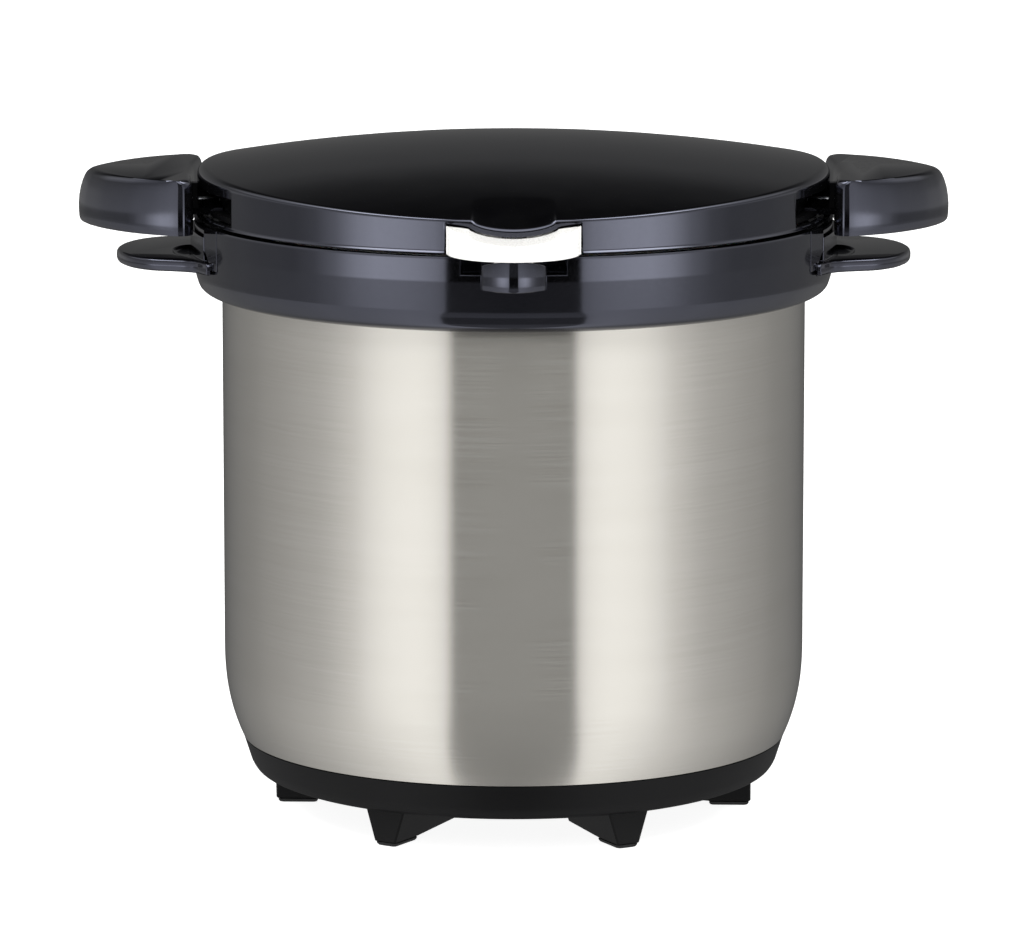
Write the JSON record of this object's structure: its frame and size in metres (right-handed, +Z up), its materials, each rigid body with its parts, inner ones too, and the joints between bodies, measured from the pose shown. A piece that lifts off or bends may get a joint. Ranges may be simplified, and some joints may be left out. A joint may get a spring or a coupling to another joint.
{
  "type": "thermal cooker",
  "caption": "Vacuum-walled steel thermal cooker with a hinged, latched lid, paired side handles, ribbed feet and a lift-out inner pot.",
  "frame": {"origin": "on the tabletop, under the middle of the container, at the bottom centre of the bounding box", "axes": "+Z up, the thumb lever faces -Y, the hinge is at +Y, the handles are along X"},
  "size_m": [0.3726, 0.3234, 0.2911],
  "materials": {
    "brushed_steel": "stainless steel, brushed round the body",
    "polished_steel": "stainless steel, polished",
    "zinc_steel": "zinc-plated steel",
    "gloss_black": "black moulded plastic, high gloss",
    "satin_black": "black moulded plastic, satin",
    "rubber": "black rubber",
    "silicone": "grey silicone",
    "white_plastic": "white moulded plastic, smooth",
    "foam": "rigid insulation foam",
    "lid_glass": "clear tempered glass"
  },
  "bodies": {
    "container": {"outer_shell": "brushed_steel", "inner_vessel": "polished_steel", "vacuum_seal_cap": "polished_steel", "base_bracket": "zinc_steel", "base_cover": "satin_black", "base_screw_1": "zinc_steel", "base_screw_2": "zinc_steel", "base_screw_3": "zinc_steel", "foot_pad_1": "rubber", "foot_pad_2": "rubber", "foot_pad_3": "rubber", "foot_pad_4": "rubber", "foot_pad_5": "rubber", "foot_pad_6": "rubber", "collar": "gloss_black", "collar_gasket": "silicone", "grip_left": "gloss_black", "grip_right": "gloss_black", "grip_left_screw_1": "zinc_steel", "grip_left_screw_2": "zinc_steel", "grip_right_screw_1": "zinc_steel", "grip_right_screw_2": "zinc_steel", "latch_catch": "gloss_black", "catch_screw_1": "zinc_steel", "catch_screw_2": "zinc_steel", "hinge_bracket": "gloss_black", "bracket_screw_1": "zinc_steel", "bracket_screw_2": "zinc_steel"},
    "hinge_pin": {"hinge_pin": "polished_steel"},
    "lid": {"lid_cover": "gloss_black", "lid_frame": "satin_black", "lid_liner": "polished_steel", "lid_insulation": "foam", "lid_seal": "silicone", "lid_handle_left": "gloss_black", "lid_handle_right": "gloss_black", "lid_handle_left_screw_1": "zinc_steel", "lid_handle_left_screw_2": "zinc_steel", "lid_handle_right_screw_1": "zinc_steel", "lid_handle_right_screw_2": "zinc_steel", "latch_pin": "polished_steel", "latch_spring": "zinc_steel"},
    "latch": {"latch_lever": "white_plastic"},
    "pot": {"pot": "polished_steel", "pot_base_disc": "zinc_steel", "bail_ear_left": "polished_steel", "bail_ear_right": "polished_steel"},
    "bail": {"bail": "polished_steel", "bail_grip": "satin_black"},
    "pot_lid": {"pot_lid_band": "polished_steel", "pot_lid_glass": "lid_glass", "pot_lid_knob": "satin_black", "knob_screw": "zinc_steel"}
  },
  "joints": [
    {"name": "lid_lift", "type": "slide", "parent": "container", "child": "hinge_pin", "axis": [0, 0, 1], "range_m": [0, 0.45]},
    {"name": "lid_hinge", "type": "hinge", "parent": "hinge_pin", "child": "lid", "pos_m": [0, 0.1487, 0.261], "axis": [-1, 0, 0], "range_deg": [0, 95]},
    {"name": "latch_press", "type": "hinge", "parent": "lid", "child": "latch", "pos_m": [0, -0.1296, 0.2646], "axis": [1, 0, 0], "range_deg": [0, 6], "stiffness_Nm_per_rad": 0.5, "springref_deg": -5.73},
    {"name": "pot_lift", "type": "slide", "parent": "container", "child": "pot", "axis": [0, 0, 1], "range_m": [0, 0.225]},
    {"name": "pot_lid_lift", "type": "slide", "parent": "pot", "child": "pot_lid", "axis": [0, 0, 1], "range_m": [0, 0.195]},
    {"name": "bail_swing", "type": "hinge", "parent": "pot", "child": "bail", "pos_m": [0, 0, 0.1799], "axis": [-1, 0, 0], "range_deg": [0, 90]}
  ],
  "couplings": [
    {"joint": "pot_lift", "follows": "lid_lift", "ratio": 0.5},
    {"joint": "pot_lid_lift", "follows": "lid_lift", "ratio": 0.4333},
    {"joint": "bail_swing", "follows": "lid_lift", "rad_per_m": 3.4906}
  ]
}
